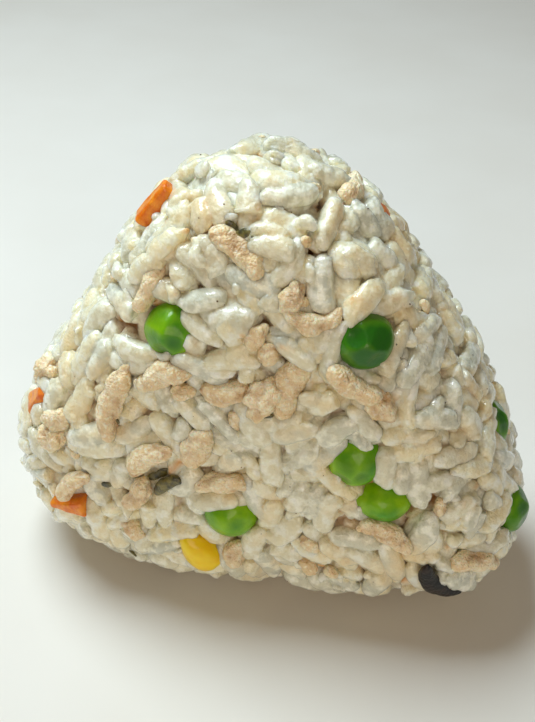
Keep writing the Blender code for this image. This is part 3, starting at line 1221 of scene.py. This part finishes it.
def crumb_piece(node, material, slot, roughness):
    """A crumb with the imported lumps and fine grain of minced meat."""
    mesh = fine_copy(node, 3)
    size_up(mesh, node)
    folds, moved = [], []
    for vertex in mesh.verts:
        place = vertex.co
        lumps = clump(place, 2.6)
        grains = clump(place + Vector((7.0, 0.0, 0.0)), 1.1)
        swell = noise.noise(place / 3.2)
        rise = 0.55 * (lumps - 0.6) + 0.18 * (grains - 0.6) + 0.35 * swell
        moved.append(place + vertex.normal * rise * roughness)
        # The creases between the lumps, which the mince material darkens as painted shade.
        folds.append(max(0.0, min(1.0, 0.75 - 0.95 * lumps - 0.25 * grains)))
    data = finish_copy(mesh, moved)
    store(data, "fold_shade", folds)
    add_piece(f"cooked_{node}", data, material, slot, node)


def pea_piece(node, number, material):
    """A boiled pea whose skin has sunk into a few bowls, with folds left between them."""
    rng = np.random.default_rng(SEED + number)
    points = corners_of(node)
    middle = (points.min(axis=0) + points.max(axis=0)) / 2
    out = Vector(outward(middle[None])[0])
    level = Vector((0, 0, 1)).cross(out).normalized()
    axes = np.array((level, out.cross(level), out))
    mesh = bmesh.new()
    bmesh.ops.create_icosphere(mesh, subdivisions=5, radius=1.0)
    ways = unit(np.array([vertex.co for vertex in mesh.verts]))
    bowls = [np.zeros(len(ways))]
    first_turn = rng.uniform(0, 2 * math.pi)
    for bowl in range(PEA_BOWLS):
        turn = first_turn + 2 * math.pi * (bowl + rng.uniform(-0.25, 0.25)) / PEA_BOWLS
        lean = rng.uniform(0.35, 0.90)
        toward = unit(np.array((lean * math.cos(turn), lean * math.sin(turn), 1.0)))
        angle = np.degrees(np.arccos(np.clip(ways @ toward, -1, 1)))
        hollow = np.clip(1 - (angle / rng.uniform(24, 36)) ** 2, 0, 1)
        bowls.append(PEA_DEPTHS.get(node, 1.0) * rng.uniform(0.30, 0.60) * hollow)
    sink = smooth_max(np.stack(bowls), 0.04)
    sink -= sink.min()
    swell = [noise.noise(Vector(way) * 1.6 + Vector((number, 0, 0))) for way in ways]
    sizes = np.ptp(points @ axes.T, axis=0) / 2
    local = ways * sizes * (1 - sink / sizes.min() + 0.04 * np.array(swell))[:, None]
    data = finish_copy(mesh, middle + local @ axes)
    # The dents' depth, which the material paints as shade, plus the darker tone of some whole peas.
    store(data, "dent", np.clip(sink / 0.6 + PEA_SHADES.get(node, 0.0), 0, 1))
    add_piece(f"cooked_{node}", data, material, "pea", node)


def blobs(placed, levels):
    """Rounded bodies at each place, as one mesh, and the points about each body's own middle."""
    ball = bmesh.new()
    bmesh.ops.create_icosphere(ball, subdivisions=levels, radius=1.0)
    ways = np.array([vertex.co for vertex in ball.verts])
    faces = np.array([[vertex.index for vertex in face.verts] for face in ball.faces])
    ball.free()
    out = outward(placed["centre"])
    across = unit(np.cross(out, placed["axis"]))
    axes = np.stack([placed["axis"], across, np.cross(placed["axis"], across)], axis=1)
    sizes = np.stack([placed[name] for name in ("length", "width", "thickness")], axis=1) / 2
    arms = np.einsum("gpi,gij->gpj", ways[None] * sizes[:, None], axes)
    starts = len(ways) * np.arange(len(arms))[:, None, None]
    return arms, (starts + faces).reshape(-1, 3)


def lay_blobs(name, placed, levels, material, slot, roughness):
    """One piece of many small bodies with the lumps and grain of mince."""
    arms, faces = blobs(placed, levels)
    places = placed["centre"][:, None] + arms
    folds = np.zeros(places.shape[:2])
    for body, number in np.ndindex(folds.shape):
        spot = Vector(places[body, number])
        lumps, grains = clump(spot, 2.0), clump(spot, 0.9)
        rise = roughness * (1.2 * (lumps - 0.6) + 0.5 * (grains - 0.6) + noise.noise(spot / 1.8))
        places[body, number] += arms[body, number] * rise
        # The creases between the lumps, which the mince material darkens as painted shade.
        folds[body, number] = 0.7 - 0.9 * lumps - 0.2 * grains
    data = mesh_of(name, places.reshape(-1, 3), faces.ravel(), np.full(len(faces), 3))
    store(data, "fold_shade", np.clip(folds, 0, 1))
    add_piece(name, data, material, slot)


def placed_bits(table, depth):
    """The small bits of a table, lying in the front at a depth."""
    centres, _, level, up = on_front(table, depth)
    turns, lengths = np.array(table)[:, 2:].T
    return {
        "centre": centres,
        "axis": turned_axes(turns, level, up),
        "length": lengths,
        "width": 0.66 * lengths,
        "thickness": 0.6 * lengths,
    }


def rice_trees():
    """What rays are cast against to find the surface of the rice."""
    graph = bpy.context.evaluated_depsgraph_get()
    names = ("rice_front", "rice_back", "rice_left", "rice_right")
    return [BVHTree.FromObject(bpy.data.objects[name], graph) for name in names]


def drop_on(trees, centres, out):
    """Where a fall straight in ends on the rice, in millimetres, and the normal there."""
    places, normals = [], []
    for centre, way in zip(centres, out):
        start = Vector(centre + 6 * way) * MM
        hits = [tree.ray_cast(start, Vector(-way)) for tree in trees]
        hits = [hit for hit in hits if hit[0] is not None]
        place, normal, _, _ = min(hits, key=lambda hit: hit[3])
        places.append(np.array(place) / MM)
        normals.append(np.array(normal))
    return np.array(places), np.array(normals)


def lay_flecks(rng, trees):
    """Bits of leaf, thin and flat, lying on the rice."""
    centres, _, level, up = on_front(LEAF_FLECKS, 0.0)
    turns, lengths = np.array(LEAF_FLECKS)[:, 2:].T
    more = start_grains(rng, 8 * MORE_FLECKS, 0.0, 0.1)
    more = take(more, np.flatnonzero(more["centre"][:, 1] > BACK_STARTS)[:MORE_FLECKS])
    centres = np.concatenate([centres, more["centre"]])
    axes = np.concatenate([turned_axes(turns, level, up), more["axis"]])
    lengths = np.concatenate([lengths, rng.uniform(*FLECK_LENGTHS, len(more["centre"]))])
    places, normals = drop_on(trees, centres, outward(centres))
    axes = unit(axes - (axes * normals).sum(axis=1, keepdims=True) * normals)
    placed = {
        "centre": places + 0.05 * normals,
        "axis": axes,
        "length": lengths,
        "width": lengths * rng.uniform(0.35, 0.6, len(lengths)),
        "thickness": np.full(len(lengths), FLECK_THICKNESS),
    }
    lay_blobs("leaf_flecks", placed, 3, simmered_leaf(), "mushroom", 0.55)


def lay_specks(rng, trees):
    """Pepper specks on the rice, each a tiny grain of its own."""
    some = start_grains(rng, SPECKS, 0.0, 0.1)
    places, normals = drop_on(trees, some["centre"], outward(some["centre"]))
    sizes = rng.uniform(*SPECK_SIZES, SPECKS)
    placed = {
        "centre": places + 0.02 * normals,
        "axis": some["axis"],
        "length": 2 * sizes,
        "width": sizes * rng.uniform(1.0, 1.8, SPECKS),
        "thickness": 1.2 * sizes,
    }
    lay_blobs("pepper_specks", placed, 1, ground_pepper(), "mushroom", 0.3)


def smooth_piece(node, material, slot, rounded, roughness):
    """A carrot die or a sweetcorn kernel with softened edges and slight unevenness."""
    mesh = fine_copy(node, 3, rounded)
    if not rounded:
        for _ in range(5):
            bmesh.ops.smooth_vert(
                mesh, verts=mesh.verts, factor=0.5, use_axis_x=True, use_axis_y=True, use_axis_z=True
            )
    size_up(mesh, node)
    moved = []
    for vertex in mesh.verts:
        rise = noise.fractal(vertex.co / 1.8, 0.9, 2.0, 3)
        moved.append(vertex.co + vertex.normal * rise * roughness)
    data = finish_copy(mesh, moved)
    add_piece(f"cooked_{node}", data, material, slot, node)


def lay_toppings():
    skin, mince, mushroom = pea_skin(), simmered_mince(), stewed_mushroom()
    carrot, corn, leaf = boiled_carrot(), boiled_sweetcorn(), simmered_leaf()
    for number, node in enumerate(sorted(frame["nodes"])):
        kind = node.split("_")[0]
        if kind == "pea":
            pea_piece(node, number, skin)
        elif kind == "crumb":
            crumb_piece(node, mince, "mince", 1.0)
        elif kind == "mushroom":
            crumb_piece(node, leaf if node == "mushroom_2" else mushroom, "mushroom", 0.5)
        elif kind == "carrot":
            smooth_piece(node, carrot, "carrot", False, 0.12)
        elif kind == "corn":
            smooth_piece(node, corn, "sweetcorn", True, 0.06)
    return mince


def build():
    """The whole onigiri."""
    rng = np.random.default_rng(SEED)
    placed = join(
        placed_grains(PLACED_GRAINS, PLACED_DEPTH), placed_grains(GRAINS_OVER, OVER_DEPTH)
    )
    fixed = fixed_spheres(placed)
    rice = lay_rice(rng, placed, fixed)
    mince = lay_toppings()
    lay_blobs("mince_bits", placed_bits(SMALL_CRUMBS, CRUMB_DEPTH), 4, mince, "mince", 0.30)
    yellow = placed_bits(YELLOW_BITS, YELLOW_DEPTH)
    lay_blobs("corn_bits", yellow, 3, boiled_sweetcorn(), "sweetcorn", 0.2)
    tiny = bits_between(rng, rice, fixed, TINY_CRUMBS, TINY_LENGTHS)
    lay_blobs("mince_crumbs", tiny, 2, mince, "mince", 0.30)
    trees = rice_trees()
    lay_flecks(rng, trees)
    lay_specks(rng, trees)


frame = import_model()
add_camera()
add_floor()
add_lights()
build()
